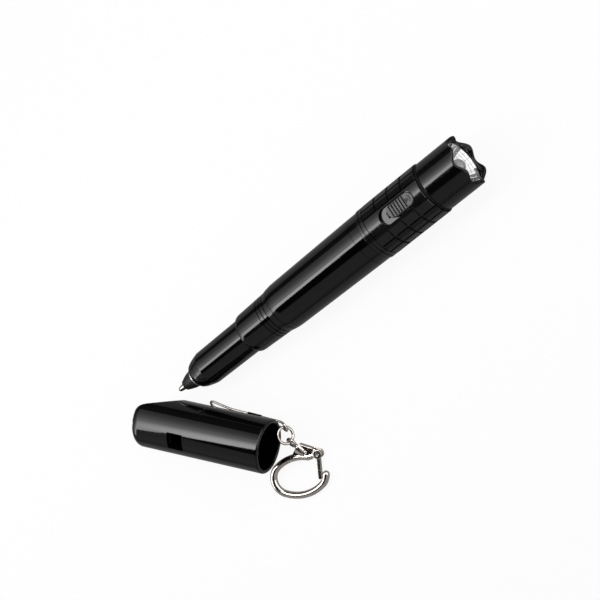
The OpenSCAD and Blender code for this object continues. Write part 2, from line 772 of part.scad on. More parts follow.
module led()
    color("ivory") lay_pen()
        translate([0, 0, reflector_z]) {
            cylinder(r = led_flange_r, h = led_flange_t);
            cylinder(r = led_r, h = led_flange_t + led_body);
            translate([0, 0, led_flange_t + led_body]) sphere(led_r);
        }

module reflector()
    color("white") lay_pen()
        difference() {
            translate([0, 0, reflector_z]) cylinder(r = front_r, h = reflector_top - reflector_z);
            turned(concat([[0, reflector_z + led_flange_t + 0.2]],
                          [for (u = [0 : 0.125 : 1])
                              [line_radius(led_flange_r + 0.1, front_r - reflector_wall, sqrt(u)),
                               line_radius(reflector_z + led_flange_t + 0.2, reflector_top, u)]],
                          [[front_r - reflector_wall, reflector_top + cut], [0, reflector_top + cut]]));
            translate([0, 0, reflector_z - cut])
                cylinder(r = led_flange_r + fit, h = led_flange_t + 2 * cut);
        }

module lens_seal()
    color(matte_black) lay_pen()
        tube(front_r, front_r - reflector_wall, reflector_top, seal_t);

module lens()
    color([0.9, 0.95, 1, 0.4]) lay_pen()
        translate([0, 0, lens_z]) cylinder(r = front_r, h = lens_t);

module crown_hollow() {
    half = (head_d + crown_d) / 4 * sin(180 / crown_lobes);
    steps = 12;
    wave = [for (i = [-steps : steps]) [half * i / steps,
                                        crown_z - crown_depth * (1 + cos(180 * i / steps)) / 2]];
    rotate([90, 0, 90])
        linear_extrude(head_d)
            polygon(concat([[-half, crown_z + cut]], wave, [[half, crown_z + cut]]));
}

module head_bezel()
    color(black) lay_pen()
        difference() {
            turned([[crown_d / 2, head_z + part_gap], [head_d / 2 - edge, head_z + part_gap],
                    [head_d / 2, head_z + part_gap + edge], [head_d / 2, crown_z - crown_edge],
                    [head_d / 2 - crown_edge, crown_z], [crown_d / 2 + edge, crown_z],
                    [crown_d / 2, crown_z - edge]]);
            translate([0, 0, head_z - cut]) cylinder(d = head_bore_d, h = lens_z + lens_t - head_z + cut);
            for (i = [0 : crown_lobes - 1])
                rotate([0, 0, crown_turn + 360 * i / crown_lobes]) crown_hollow();
        }

module head_seal()
    color(matte_black) lay_pen()
        translate([0, 0, seal_z + seal_len / 2])
            rotate_extrude()
                translate([head_spigot_r + o_ring_r + 2 * fit, 0]) circle(o_ring_r, $fn = 32);

// Switch

module switch_button()
    color(black) lay_pen() {
        difference() {
            on_top(button_z) stadium(button_len, button_w, button_base, button_top - button_base);
            for (i = [0 : rib_count - 1]) {
                rib_z = button_z + (i - (rib_count - 1) / 2) * rib_pitch;
                translate([button_top - rib_h, -button_w, rib_z])
                    cube([rib_h + cut, 2 * button_w, rib_pitch / 2]);
            }
        }
        translate([slider_top - slider_t, -stem_w / 2, button_z - stem_len / 2])
            cube([button_base - slider_top + slider_t, stem_w, stem_len]);
    }

module switch_slider()
    color("dimgray") lay_pen()
        difference() {
            translate([slider_top - slider_t, -slider_w / 2, button_z - slider_len / 2])
                cube([slider_t, slider_w, slider_len]);
            translate([0, -stem_w / 2 - fit, button_z - stem_len / 2 - fit])
                cube([slider_top + cut, stem_w + 2 * fit, stem_len + 2 * fit]);
        }

// Cap

module cap_shell()
    color(black) {
        lay_cap() difference() {
            turned(concat([[0, 0]],
                          corner(cap_r - cap_round, cap_round, cap_round, -90),
                          corner(cap_r - mouth_edge_out, cap_len - mouth_edge_out, mouth_edge_out, 0),
                          corner(cap_bore_r + mouth_edge_in, cap_len - mouth_edge_in, mouth_edge_in, 90),
                          [[cap_bore_r, bore_z], [nose_room_r, nose_room_z], [nib_room_r, nib_room_z],
                           [nib_room_r, cap_end_t], [0, cap_end_t]]));
            rotate([0, 0, window_turn]) {
                translate([block_floor, -window_w / 2, window_at - window_len / 2])
                    cube([cap_r, window_w, window_len]);
                translate([block_floor, -window_w / 2, -cut])
                    cube([windway_top - block_floor, window_w, window_at - window_len / 2 + 2 * cut]);
            }
            rotate([0, 0, bevel_turn])
                rotate([90, 0, 0])
                    translate([0, 0, -cap_d])
                        linear_extrude(2 * cap_d)
                            polygon(concat([[cap_d, -cut], [cap_d, bevel_len], [cap_r, bevel_len]],
                                           bend([cap_r, bevel_len], bevel_foot, bevel_inner, 4, 8),
                                           [bevel_inner, [bevel_inner[0], -cut]]));
        }
        clip_saddle();
    }

// Raised saddle on the cap with two holes that hold the legs of the clip
module clip_saddle()
    lay_clip()
        difference() {
            union() {
                translate([clip_x - saddle_foot, -clip_gap / 2, saddle_z])
                    cube([saddle_top - clip_x + saddle_foot, clip_gap, saddle_len]);
                for (side = [-1, 1]) {
                    translate([clip_x, side * clip_gap / 2, saddle_z]) cylinder(r = lug_r, h = saddle_len);
                    translate([clip_x - saddle_foot, side * clip_gap / 2 - lug_r, saddle_z])
                        cube([saddle_foot, 2 * lug_r, saddle_len]);
                }
            }
            translate([0, 0, saddle_z - cut]) cylinder(r = cap_r - saddle_sink, h = saddle_len + 2 * cut);
            for (side = [-1, 1])
                translate([clip_x, side * clip_gap / 2, saddle_z - cut])
                    cylinder(r = clip_r + fit, h = saddle_len + 2 * cut, $fn = 32);
        }

module whistle_block()
    color(matte_black) lay_cap()
        rotate([0, 0, window_turn])
            translate([block_floor, -window_w / 2 + fit, block_z])
                cube([windway_top - block_floor - windway_h, window_w - 2 * fit, block_end - block_z]);

module wire_clip() color(nickel) lay_clip() closed_wire(clip_rings(), clip_r, 10);

// Ring and hook

module jump_ring()
    color(nickel) lay_ring()
        rotate_extrude() translate([ring_r, 0]) circle(ring_wire_r, $fn = 32);

module swivel_eye()
    color(nickel) lay_hook() {
        rotate([eye_roll + 90, 0, 0]) rotate_extrude() translate([eye_r, 0]) circle(eye_wire_r, $fn = 32);
        rotate([0, 90, 0]) {
            translate([0, 0, eye_r]) cylinder(d = stem_d, h = swivel_end + part_gap - eye_r + rivet_t);
            translate([0, 0, swivel_end + part_gap]) cylinder(r = rivet_r, h = rivet_t);
        }
    }

module hook_loop() {
    inner_r = hook_r - seam;
    nose_end = nose_angle - lap / 2;
    translate([0, -hook_side, 0]) bent(hook_bend, hook_r, hook_angle - 180, -hook_angle);
    translate([0, hook_side, 0]) bent(hook_bend, hook_r, hook_angle, nose_angle);
    translate([-hook_off, 0, 0]) bent(hook_big, inner_r, -hook_angle - lap, hook_angle + lap);
    translate([hook_off, 0, 0]) bent(hook_big, inner_r, 180 - top_span, 180 + hook_angle + lap);
    translate([hook_bend * cos(nose_end), hook_side + hook_bend * sin(nose_end), 0])
        sphere(inner_r + seam / 2, $fn = 32);
    translate([top_end[0], top_end[1], 0]) sphere(inner_r + seam / 2, $fn = 32);
    translate([top_end[0], top_end[1], 0])
        rotate([-90, 0, atan2(top_end[0] - pin_at[0], pin_at[1] - top_end[1])])
            cylinder(r = inner_r - seam, h = norm(pin_at - top_end));
}

// Place in the stem frame of a point of the loop frame
function from_loop(p) =
    [hook_along + p[0] * cos(hook_lean) + p[1] * sin(hook_lean),
     p[1] * cos(hook_lean) - p[0] * sin(hook_lean) - hook_across];

// Flat web between the nut, the boss and the upper arc
module hook_hood()
    translate([0, 0, -hood_t / 2])
        linear_extrude(hood_t)
            polygon([[swivel_z, -swivel_r + 0.1], [swivel_z, swivel_r - 0.1],
                     from_loop(pin_at + boss_r * [-0.75, 0.55]), from_loop(pin_at), from_loop(top_end),
                     from_loop([-hook_b, 0]), from_loop([0.1 - hook_b, -1])]);

module hook_body()
    color(nickel) lay_hook()
        difference() {
            union() {
                in_loop() hook_loop();
                hook_hood();
                translate([swivel_z, 0, 0])
                    rotate([0, 90, 0]) cylinder(r = swivel_r, h = swivel_end - swivel_z);
                in_loop() translate([pin_at[0], pin_at[1], -boss_t / 2]) cylinder(r = boss_r, h = boss_t);
            }
            rotate([0, 90, 0]) {
                cylinder(d = stem_d + 2 * run, h = swivel_end + cut / 2);
                translate([0, 0, swivel_end])
                    cylinder(r = rivet_r + rivet_room, h = part_gap + rivet_t + rivet_room);
            }
            in_loop() {
                translate([pin_at[0], pin_at[1], -boss_t]) cylinder(d = gate_pin_d + 2 * fit, h = 2 * boss_t);
                translate([pin_at[0], pin_at[1], -slot_t / 2]) cylinder(r = slot_r, h = slot_t);
                translate([gate_tip[0], gate_tip[1], -gate_t / 2 - gate_room])
                    cylinder(r = gate_w / 2 + gate_room, h = gate_t + 2 * gate_room);
            }
        }

module gate_pin()
    color(steel) lay_loop()
        translate([pin_at[0], pin_at[1], -boss_t / 2]) cylinder(d = gate_pin_d, h = boss_t);

module hook_gate()
    color(nickel) lay_loop()
        translate([pin_at[0], pin_at[1], -gate_t / 2])
            rotate([0, 0, gate_lean])
                difference() {
                    union() {
                        cylinder(r = gate_boss_r, h = gate_t);
                        translate([0, -gate_w / 2, 0]) cube([gate_len, gate_w, gate_t]);
                        translate([gate_len, 0, 0]) cylinder(d = gate_w, h = gate_t);
                    }
                    translate([0, 0, -cut]) cylinder(d = gate_pin_d + 2 * run, h = gate_t + 2 * cut);
                    translate([0, 0, gate_t - gate_pocket_h])
                        cylinder(r = gate_pocket_r, h = gate_pocket_h + cut);
                }

// One turn of wire round the pin, in the gate's pocket, that pushes the gate shut
module gate_spring()
    color(steel) lay_loop()
        translate([pin_at[0], pin_at[1], gate_spring_z])
            bent(gate_spring_r, gate_spring_wire / 2, gate_lean + 25, gate_lean + 335);

writing_ball();
refill_point();
refill_tube();
nib_cone();
trim_ring();
nose_section();
front_collar();
barrel();
barrel_end_ring();
refill_stop();
grip_sleeve();
battery_plug();
cell_spring();
button_cells();
contact_plate();
led_board();
led();
reflector();
lens_seal();
lens();
head_bezel();
head_seal();
switch_button();
switch_slider();
cap_shell();
whistle_block();
wire_clip();
jump_ring();
swivel_eye();
hook_body();
gate_pin();
gate_spring();
hook_gate();
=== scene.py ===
import math

import bmesh
import bpy
from mathutils import Matrix, Vector


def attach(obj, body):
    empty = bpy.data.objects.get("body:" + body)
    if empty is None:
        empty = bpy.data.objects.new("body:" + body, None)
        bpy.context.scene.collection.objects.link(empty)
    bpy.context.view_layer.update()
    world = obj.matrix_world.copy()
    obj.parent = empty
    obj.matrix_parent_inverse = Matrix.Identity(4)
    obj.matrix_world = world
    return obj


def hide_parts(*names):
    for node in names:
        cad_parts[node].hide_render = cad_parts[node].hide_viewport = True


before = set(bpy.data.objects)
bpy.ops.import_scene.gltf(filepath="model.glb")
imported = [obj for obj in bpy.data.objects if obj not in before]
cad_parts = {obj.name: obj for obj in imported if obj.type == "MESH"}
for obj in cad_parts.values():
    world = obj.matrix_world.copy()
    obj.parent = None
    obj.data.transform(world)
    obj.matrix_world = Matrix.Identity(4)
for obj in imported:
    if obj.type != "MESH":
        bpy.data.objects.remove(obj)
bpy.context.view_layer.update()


# Camera
# The pen is seen from above its light end, with the cap at the lower left of the picture.
# picture_up is the heading on the floor that points straight up in the picture.

MM = 0.001
scene = bpy.context.scene
view_from = Vector((275.57, -56.52, 560.93)) * MM
view_at = Vector((-3.8, 22.75, 0)) * MM
picture_up = math.radians(51.08)
focal_length = 114.3
sensor_width = 36
nearest_view = 0.01
farthest_view = 50


def camera_turn(place, target, heading):
    """Rotation of a camera that looks from place to target with the floor heading upright."""
    back = (place - target).normalized()
    right = Vector((math.cos(heading), math.sin(heading), 0)).cross(back).normalized()
    up = back.cross(right)
    return Matrix((right, up, back)).transposed().to_4x4()


camera = bpy.data.objects.new("camera", bpy.data.cameras.new("camera"))
camera.data.lens = focal_length
camera.data.sensor_width = sensor_width
camera.data.clip_start = nearest_view
camera.data.clip_end = farthest_view
camera.matrix_world = (Matrix.Translation(view_from)
                       @ camera_turn(view_from, view_at, picture_up))
scene.collection.objects.link(camera)
scene.camera = camera
scene.view_settings.view_transform = "Standard"


# Studio
# A white sweep for the floor, a room with grey walls and a dark ceiling, a long softbox behind the
# pen that fades from edge to edge, and a broad one beyond the light end that fills the reflector.

floor_size = 6.0
floor_shade = 0.85
floor_glow = 0.92
gloss_share = 0.9
# Brightness of the floor in gloss, by metres from its middle.
floor_sheen = ((0.0, 0.22), (0.12, 0.22), (0.3, 0.12), (0.8, 0.06))
# Brightness of the room, from straight down to straight up and from its front to its back.
wall_stops = ((0.0, 0.12), (0.5, 0.12), (0.56, 0.22), (0.66, 0.3), (0.897, 0.3), (0.904, 0.0))
back_stops = ((0.0, 1.0), (0.7, 1.0), (0.85, 0.2), (1.0, 0.2))
# Each softbox in metres, with its brightness from edge to edge and from side to side.
long_box_near = Vector((-0.15, 0.059, 0.30))
long_box_far = Vector((-0.15, 0.30, 0.13))
long_box_width = 0.75
long_box_watts = 5.1
long_box_fade = ((0.0, 0.05), (0.3, 0.09), (0.5, 0.16), (0.7, 0.36), (0.84, 0.85), (0.92, 1.0),
                 (1.0, 0.95))
long_box_sides = ((0.0, 1.0), (0.52, 1.0), (0.62, 0.7), (1.0, 0.5))
head_box_near = Vector((0.30, 0, 0.42))
head_box_far = Vector((0.34, 0, 0.01))
head_box_width = 0.8
head_box_watts = 1.75
head_box_fade = ((0.0, 0.45), (0.5, 0.8), (1.0, 1.25))
head_box_sides = ((0.0, 1.0), (1.0, 1.0))


class Value:
    """A number from a socket; arithmetic on it adds Math nodes to its tree."""

    def __init__(self, tree, socket):
        self.tree = tree
        self.socket = socket

    def math(self, operation, first, second):
        node = self.tree.nodes.new("ShaderNodeMath")
        node.operation = operation
        for place, value in zip(node.inputs, (first, second)):
            if isinstance(value, Value):
                self.tree.links.new(value.socket, place)
            else:
                place.default_value = value
        return Value(self.tree, node.outputs[0])

    def __add__(self, other):
        return self.math("ADD", self, other)

    def __mul__(self, other):
        return self.math("MULTIPLY", self, other)

    def __gt__(self, other):
        return self.math("GREATER_THAN", self, other)

    __radd__ = __add__
    __rmul__ = __mul__


class Shader:
    """The emptied node tree of a material, lamp or world, with one way to add any node to it."""

    def __init__(self, owner):
        owner.use_nodes = True
        self.tree = owner.node_tree
        self.tree.nodes.clear()

    def node(self, kind, settings=None, sockets=None):
        node = self.tree.nodes.new("ShaderNode" + kind)
        for name, value in (settings or {}).items():
            if name == "stops":
                self.set_stops(node.color_ramp.elements, value)
            else:
                setattr(node, name, value)
        for name, value in (sockets or {}).items():
            if isinstance(value, Value):
                self.tree.links.new(value.socket, node.inputs[name])
            else:
                node.inputs[name].default_value = value
        return node

    def set_stops(self, marks, stops):
        for i, (place, colour) in enumerate(stops):
            mark = marks[i] if i < len(marks) else marks.new(place)
            mark.position = place
            shade = colour if isinstance(colour, tuple) else (colour,) * 3
            mark.color = (*shade, 1)

    def value(self, kind, settings=None, sockets=None, output=0):
        return Value(self.tree, self.node(kind, settings, sockets).outputs[output])

    def ramp(self, stops, place):
        return self.value("ValToRGB", {"stops": stops}, {"Fac": place})

    def end(self, kind, surface):
        self.node("Output" + kind, None, {"Surface": surface})


def rays(shader, *kinds):
    """For each kind of ray, a value that is 1 on such a ray and 0 on any other."""
    path = shader.node("LightPath")
    return [Value(shader.tree, path.outputs["Is " + kind + " Ray"]) for kind in kinds]


def softbox(name, near_edge, far_edge, width, watts, fade, side_fade):
    """A rectangular lamp that looks at the pen and fades from edge to edge and side to side."""
    lamp = bpy.data.lights.new(name, "AREA")
    lamp.shape = "RECTANGLE"
    lamp.size = width
    lamp.size_y = (far_edge - near_edge).length
    lamp.energy = watts
    middle = (near_edge + far_edge) / 2
    across = (near_edge - far_edge).normalized()
    along = across.cross(middle).normalized()
    back = along.cross(across)
    facing = Matrix((along, across, back)).transposed().to_4x4()
    box = bpy.data.objects.new(name, lamp)
    box.matrix_world = Matrix.Translation(middle) @ facing
    box.visible_camera = False
    scene.collection.objects.link(box)
    cloth = Shader(lamp)
    face = cloth.value("NewGeometry", None, None, "Parametric")
    edge_light = cloth.ramp(fade, cloth.value("SeparateXYZ", None, {0: face}, "Y"))
    side_light = cloth.ramp(side_fade, cloth.value("SeparateXYZ", None, {0: face}, "X"))
    cloth.end("Light", cloth.value("Emission", None, {"Strength": edge_light * side_light}))


floor_sheet = bmesh.new()
bmesh.ops.create_grid(floor_sheet, x_segments=1, y_segments=1, size=floor_size / 2)
floor = bpy.data.objects.new("floor", bpy.data.meshes.new("floor"))
floor_sheet.to_mesh(floor.data)
floor_sheet.free()
scene.collection.objects.link(floor)

floor_white = bpy.data.materials.new("floor_white")
paint = Shader(floor_white)
seen, gloss, glass = rays(paint, "Camera", "Glossy", "Transmission")
lit = paint.value("BsdfDiffuse", None, {"Color": (floor_shade, floor_shade, floor_shade, 1)})
place = paint.value("TexCoord", None, None, "Object")
distance = paint.value("VectorMath", {"operation": "LENGTH"}, {0: place}, "Value")
shine = paint.value("MixRGB", None, {"Fac": gloss, "Color1": (1, 1, 1, 1),
                                     "Color2": paint.ramp(floor_sheen, distance)})
glow = paint.value("Emission", None, {"Color": shine, "Strength": 1.0})
share = (seen + glass) * floor_glow + gloss * gloss_share
paint.end("Material", paint.value("MixShader", None, {0: share, 1: lit, 2: glow}))
floor.data.materials.append(floor_white)

scene.world = bpy.data.worlds.new("room")
room = Shader(scene.world)
[seen] = rays(room, "Camera")
look = room.value("TexCoord", None, None, "Generated")
height = room.value("SeparateXYZ", None, {0: look}, "Z")
depth = room.value("SeparateXYZ", None, {0: look}, "Y")
walls = room.ramp(wall_stops, height * 0.5 + 0.5) * room.ramp(back_stops, depth * 0.5 + 0.5)
backdrop = room.value("MixRGB", None, {"Fac": seen, "Color1": walls, "Color2": (1, 1, 1, 1)})
room.end("World", room.value("Background", None, {"Color": backdrop, "Strength": 1.0}))

softbox("long_softbox", long_box_near, long_box_far, long_box_width, long_box_watts,
        long_box_fade, long_box_sides)
softbox("head_softbox", head_box_near, head_box_far, head_box_width, head_box_watts,
        head_box_fade, head_box_sides)


# Ball refill
# A tungsten ball in a nickel-plated point, on a moulded tube of ink. The point is turned on a
# lathe, so fine rings run round it, and it is pressed into the tube.

pen_tip = Vector((-57.5, 23.15, 7.319)) * MM
pen_tilt = math.radians(1.1495)
pen_roll = math.radians(-5)
nose_station = 8.95
tube_bore = 0.87
plug_end = nose_station + 4
# Half section of the point from the ball's seat to the plug in the tube, as radius and distance
# from the pen's tip in millimetres.
point_section = (
    (0, 0.92), (0.33, 0.78), (0.46, 0.5), (0.5, 0.34), (0.58, 0.34), (0.7, 0.5), (0.84, 0.9),
    (0.97, 1.6), (1.08, 2.5), (1.1, 3.08), (1.0, 3.18), (1.0, nose_station),
    (tube_bore, nose_station), (tube_bore, plug_end), (0, plug_end))
point_sides = 48
# Marks on metal, as counts in a metre, and the height of lathe rings.
stain_scale = 420.0
wear_scale = 1900.0
wear_level = 0.62
ring_scale = 2600.0
ring_height = 0.00002
# Marks on plastic: the slow mottle, scuffs drawn out along the pen, and the grain of the skin.
mottle_scale = 160.0
scuff_scale = (90, 1500, 1500)
scuff_turn = 0.4
scuff_level = 0.66
grain_fill = 0.7
grain_height = 0.00005


def metal(name, stops, dull, spread, rings=0.0):
    """Plated or bare metal: stops are its colour from stained to clean, dull its least roughness,
    spread how much duller its stains are, and rings the strength of lathe marks."""
    material = bpy.data.materials.new(name)
    mix = Shader(material)
    spot = mix.value("TexCoord", None, None, "Object")
    stain = mix.value("TexNoise", None, {"Vector": spot, "Scale": stain_scale, "Detail": 4.0})
    wear = mix.value("TexNoise", None, {"Vector": spot, "Scale": wear_scale, "Detail": 3.0})
    surface = {"Metallic": 1.0, "Base Color": mix.ramp(stops, stain),
               "Roughness": (wear > wear_level) * (spread / 2) + stain * spread + dull}
    if rings:
        lathe = mix.value("Mapping", None, {"Vector": spot, "Rotation": (0, pen_tilt, 0)})
        wave = mix.value("TexWave", {"bands_direction": "X"},
                         {"Vector": lathe, "Scale": ring_scale, "Distortion": 0.4})
        surface["Normal"] = mix.value(
            "Bump", None, {"Strength": rings, "Distance": ring_height, "Height": wave})
    mix.end("Material", mix.value("BsdfPrincipled", None, surface))
    return material


def plastic(name, stops, dull, spread, grain=0.0, grain_size=0.0004, scuff=0.0, shine=0.5,
            clear=0.0):
    """Moulded plastic or rubber: stops are its colour over a slow mottle, dull and spread its
    roughness, and grain the strength of its skin's texture."""
    material = bpy.data.materials.new(name)
    mix = Shader(material)
    spot = mix.value("TexCoord", None, None, "Object")
    mottle = mix.value("TexNoise", None, {"Vector": spot, "Scale": mottle_scale, "Detail": 3.0})
    handling = mix.value("Mapping", None, {"Vector": spot, "Rotation": (0, 0, scuff_turn),
                                           "Scale": scuff_scale})
    marks = mix.value("TexNoise", None, {"Vector": handling, "Scale": 1.0, "Detail": 2.0})
    surface = {"Base Color": mix.ramp(stops, mottle),
               "Roughness": (marks > scuff_level) * scuff + mottle * spread + dull,
               "Specular IOR Level": shine, "Transmission Weight": clear}
    if grain:
        skin = mix.value("TexNoise", None,
                         {"Vector": spot, "Scale": grain_fill / grain_size, "Detail": 2.0})
        surface["Normal"] = mix.value(
            "Bump", None, {"Strength": grain, "Distance": grain_height, "Height": skin})
    mix.end("Material", mix.value("BsdfPrincipled", None, surface))
    return material


def dress(material, *names):
    """Gives CAD pieces their finish."""
    for name in names:
        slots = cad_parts[name].data.materials
        slots.clear()
        slots.append(material)


def lay(shape, start=Matrix()):
    """Carries a shape to its place from the pen's own frame: z along the pen from its tip, x out
    through the switch, in millimetres. start carries it into that frame first."""
    lying = Matrix.Rotation(math.radians(-90), 4, "Y") @ Matrix.Rotation(math.radians(180), 4, "X")
    leaning = Matrix.Rotation(-pen_tilt, 4, "Y") @ Matrix.Rotation(pen_roll, 4, "X") @ lying
    placing = Matrix.Translation(pen_tip) @ leaning @ Matrix.Scale(MM, 4)
    bmesh.ops.transform(shape, matrix=placing @ start, verts=shape.verts)


def turned(section, sides):
    """A half section spun round the pen's axis: a ring, or a solid if it starts and ends there."""
    ring = bmesh.new()
    half = [ring.verts.new((r, 0, z)) for r, z in section]
    edges = [ring.edges.new(pair) for pair in zip(half, half[1:])]
    if section[0][0] and section[-1][0]:
        edges.append(ring.edges.new((half[-1], half[0])))
    bmesh.ops.spin(ring, geom=half + edges, cent=(0, 0, 0), axis=(0, 0, 1), angle=math.tau,
                   steps=sides, use_merge=True)
    bmesh.ops.remove_doubles(ring, verts=ring.verts, dist=1e-4)
    bmesh.ops.recalc_face_normals(ring, faces=ring.faces)
    return ring


def finished(name, shape, body, material, fold=40, stands_for=()):
    """Makes a piece of a shape, shaded smooth up to the fold angle, and ties it to its body."""
    for face in shape.faces:
        face.smooth = True
    for edge in shape.edges:
        edge.smooth = (len(edge.link_faces) == 2
                       and edge.calc_face_angle() < math.radians(fold))
    piece = bpy.data.objects.new(name, bpy.data.meshes.new(name))
    shape.to_mesh(piece.data)
    shape.free()
    piece.data.materials.append(material)
    scene.collection.objects.link(piece)
    shading = piece.modifiers.new("even_normals", "WEIGHTED_NORMAL")
    shading.keep_sharp = True
    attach(piece, body)
    if stands_for:
        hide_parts(*stands_for)
    return piece


nickel_shades = ((0.25, (0.66, 0.60, 0.55)), (0.7, (0.86, 0.80, 0.75)))
steel_shades = ((0.25, (0.50, 0.50, 0.51)), (0.7, (0.68, 0.68, 0.70)))
white_shades = ((0.3, (0.74, 0.74, 0.72)), (0.7, (0.82, 0.82, 0.80)))
bare_steel = metal("bare_steel", steel_shades, dull=0.18, spread=0.14)
point_nickel = metal("point_nickel", nickel_shades, dull=0.10, spread=0.10, rings=0.25)
refill_white = plastic("refill_white", white_shades, dull=0.32, spread=0.12)
dress(bare_steel, "writing_ball")
dress(refill_white, "refill_tube")
point = turned(point_section, point_sides)
lay(point)
finished("point_cone", point, "pen", point_nickel, stands_for=("refill_point",))


# Nib cone
# A matte black cone that screws into the nose and holds the refill's point. It is moulded in a
# spark-eroded tool, which leaves a fine even grain.

grain_black = ((0.3, (0.007, 0.007, 0.008)), (0.7, (0.013, 0.013, 0.014)))
nib_black = plastic("nib_black", grain_black, dull=0.36, spread=0.14, grain=0.5,
                    grain_size=0.00025, shine=0.35)
dress(nib_black, "nib_cone")


# Trim ring
# A thin bright ring between the nib and the nose. It is cut from brass tube, plated with nickel
# and clamped when the nib is screwed in.

trim_nickel = metal("trim_nickel", nickel_shades, dull=0.36, spread=0.12)
dress(trim_nickel, "trim_ring")


# Nose, collar, barrel and end ring
# Polished black mouldings that plug into one another. Each was moulded upright, so its skin has a
# very faint ripple, and a few hairline marks from handling run along the pen.

deep_black = ((0.3, (0.0009, 0.0009, 0.0011)), (0.7, (0.0016, 0.0016, 0.0018)))
gloss_black = plastic("gloss_black", deep_black, dull=0.045, spread=0.04, grain=0.03,
                      grain_size=0.0022, scuff=0.05)
dress(gloss_black, "nose_section", "front_collar", "barrel", "barrel_end_ring")


# Refill stop
# A plain grey plug of moulded plastic. It is pushed into the barrel from the light's end and
# backs the refill, so that writing doesn't press it in.

grey_shades = ((0.3, (0.24, 0.24, 0.25)), (0.7, (0.32, 0.32, 0.33)))
plug_grey = plastic("plug_grey", grey_shades, dull=0.40, spread=0.14, grain=0.2)
dress(plug_grey, "refill_stop")


# Grip sleeve
# The black sleeve of the light: two bands, four rows of raised tiles and the sunk track of the
# switch. It is one moulding from a satin tool, and plugs into the barrel.

tile_fold = 32
weld = 1e-6
flat_angle = math.radians(0.4)


def copied(node):
    """A welded copy of a CAD piece's mesh."""
    shape = bmesh.new()
    shape.from_mesh(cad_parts[node].data)
    bmesh.ops.remove_doubles(shape, verts=shape.verts, dist=weld)
    return shape


def join_flats(shape):
    """Joins the triangles of each flat face."""
    bmesh.ops.dissolve_limit(shape, angle_limit=flat_angle, verts=shape.verts, edges=shape.edges)


satin_shades = ((0.3, (0.003, 0.003, 0.0035)), (0.7, (0.006, 0.006, 0.0065)))
grip_satin = plastic("grip_satin", satin_shades, dull=0.11, spread=0.06, grain=0.10, scuff=0.06)
sleeve = copied("grip_sleeve")
join_flats(sleeve)
finished("grip_tiles", sleeve, "light", grip_satin, fold=tile_fold,
         stands_for=("grip_sleeve",))


# Battery stack
# A grey plug, a coil spring, three button cells in steel cans and a brass contact, stacked in the
# sleeve. The spring presses them on the contact, and the plug closes the sleeve behind them.

can_shades = ((0.3, (0.62, 0.62, 0.63)), (0.7, (0.78, 0.78, 0.79)))
brass_shades = ((0.3, (0.62, 0.44, 0.17)), (0.7, (0.80, 0.60, 0.28)))
can_steel = metal("can_steel", can_shades, dull=0.16, spread=0.12)
contact_brass = metal("contact_brass", brass_shades, dull=0.18, spread=0.14)
dress(plug_grey, "battery_plug")
dress(bare_steel, "cell_spring")
dress(can_steel, "button_cells")
dress(contact_brass, "contact_plate")


# Lamp
# A green board with a milky-domed LED, in a reflector of flat facets, behind a rubber seal and a
# polished acrylic lens. The reflector is moulded and then coated with bright aluminium.

facet_count = 24
facet_rows = 5
facet_frame = 0.09
facet_lift = 0.05
facet_slopes = (0.05, 0.98)
reflector_foot = 126.08
reflector_top = 131.4
reflector_outer = 7.95
reflector_mouth = 7.55
reflector_throat = 3.0
throat_rise = 1.2
throat_margin = 0.05
lens_foot = 131.9
lens_top = 132.6
lens_edge = 0.12
lens_sides = 96
lens_bend = 1.49
lens_dull = 0.01
dust_dull = 0.03
dust_level = 0.7
dust_scale = 900.0
gasket_inner = 7.7


def bowl_section():
    """Half section of the reflector: its throat, a bowl of straight rows, its rim and outside."""
    foot = reflector_foot + throat_rise
    rows = [i / facet_rows for i in range(facet_rows + 1)]
    inside = [(reflector_throat + (reflector_mouth - reflector_throat) * math.sqrt(u),
               foot + (reflector_top - foot) * u) for u in rows]
    return [(reflector_throat, reflector_foot), *inside, (reflector_outer, reflector_top),
            (reflector_outer, reflector_foot)]


def is_facet(face):
    """Whether a face of the reflector is in its bowl."""
    reach = face.calc_center_median().xy.length
    return (reflector_throat + throat_margin < reach < reflector_mouth
            and facet_slopes[0] < face.normal.z < facet_slopes[1])


def rounded(shape, edges, radius, steps):
    """Rounds some edges of a shape."""
    bmesh.ops.bevel(shape, geom=edges, offset=radius, offset_type="OFFSET", segments=steps,
                    profile=0.5, affect="EDGES", clamp_overlap=True, material=-1)


mirror_shades = ((0.3, (0.86, 0.86, 0.88)), (0.7, (0.94, 0.94, 0.95)))
mirror_coat = metal("mirror_coat", mirror_shades, dull=0.04, spread=0.06)
bowl = turned(bowl_section(), facet_count)
facets = [f for f in bowl.faces if is_facet(f)]
bmesh.ops.inset_individual(bowl, faces=facets, thickness=facet_frame, depth=facet_lift,
                           use_even_offset=True)
lay(bowl)
finished("reflector_facets", bowl, "light", mirror_coat, fold=5,
         stands_for=("reflector",))

board_shades = ((0.3, (0.02, 0.16, 0.07)), (0.7, (0.04, 0.24, 0.11)))
milky_shades = ((0.3, (0.90, 0.90, 0.88)), (0.7, (0.94, 0.94, 0.92)))
board_green = plastic("board_green", board_shades, dull=0.28, spread=0.14)
led_milky = plastic("led_milky", milky_shades, dull=0.05, spread=0.04, clear=0.3)
dress(board_green, "led_board")
dress(led_milky, "led")

seal_black = plastic("seal_black", satin_shades, dull=0.48, spread=0.14, grain=0.35,
                     grain_size=0.0003, shine=0.15)
gasket = turned(((gasket_inner, reflector_top), (reflector_outer, reflector_top),
                 (reflector_outer, lens_foot), (gasket_inner, lens_foot)), lens_sides)
lay(gasket)
finished("lens_gasket", gasket, "light", seal_black, stands_for=("lens_seal",))

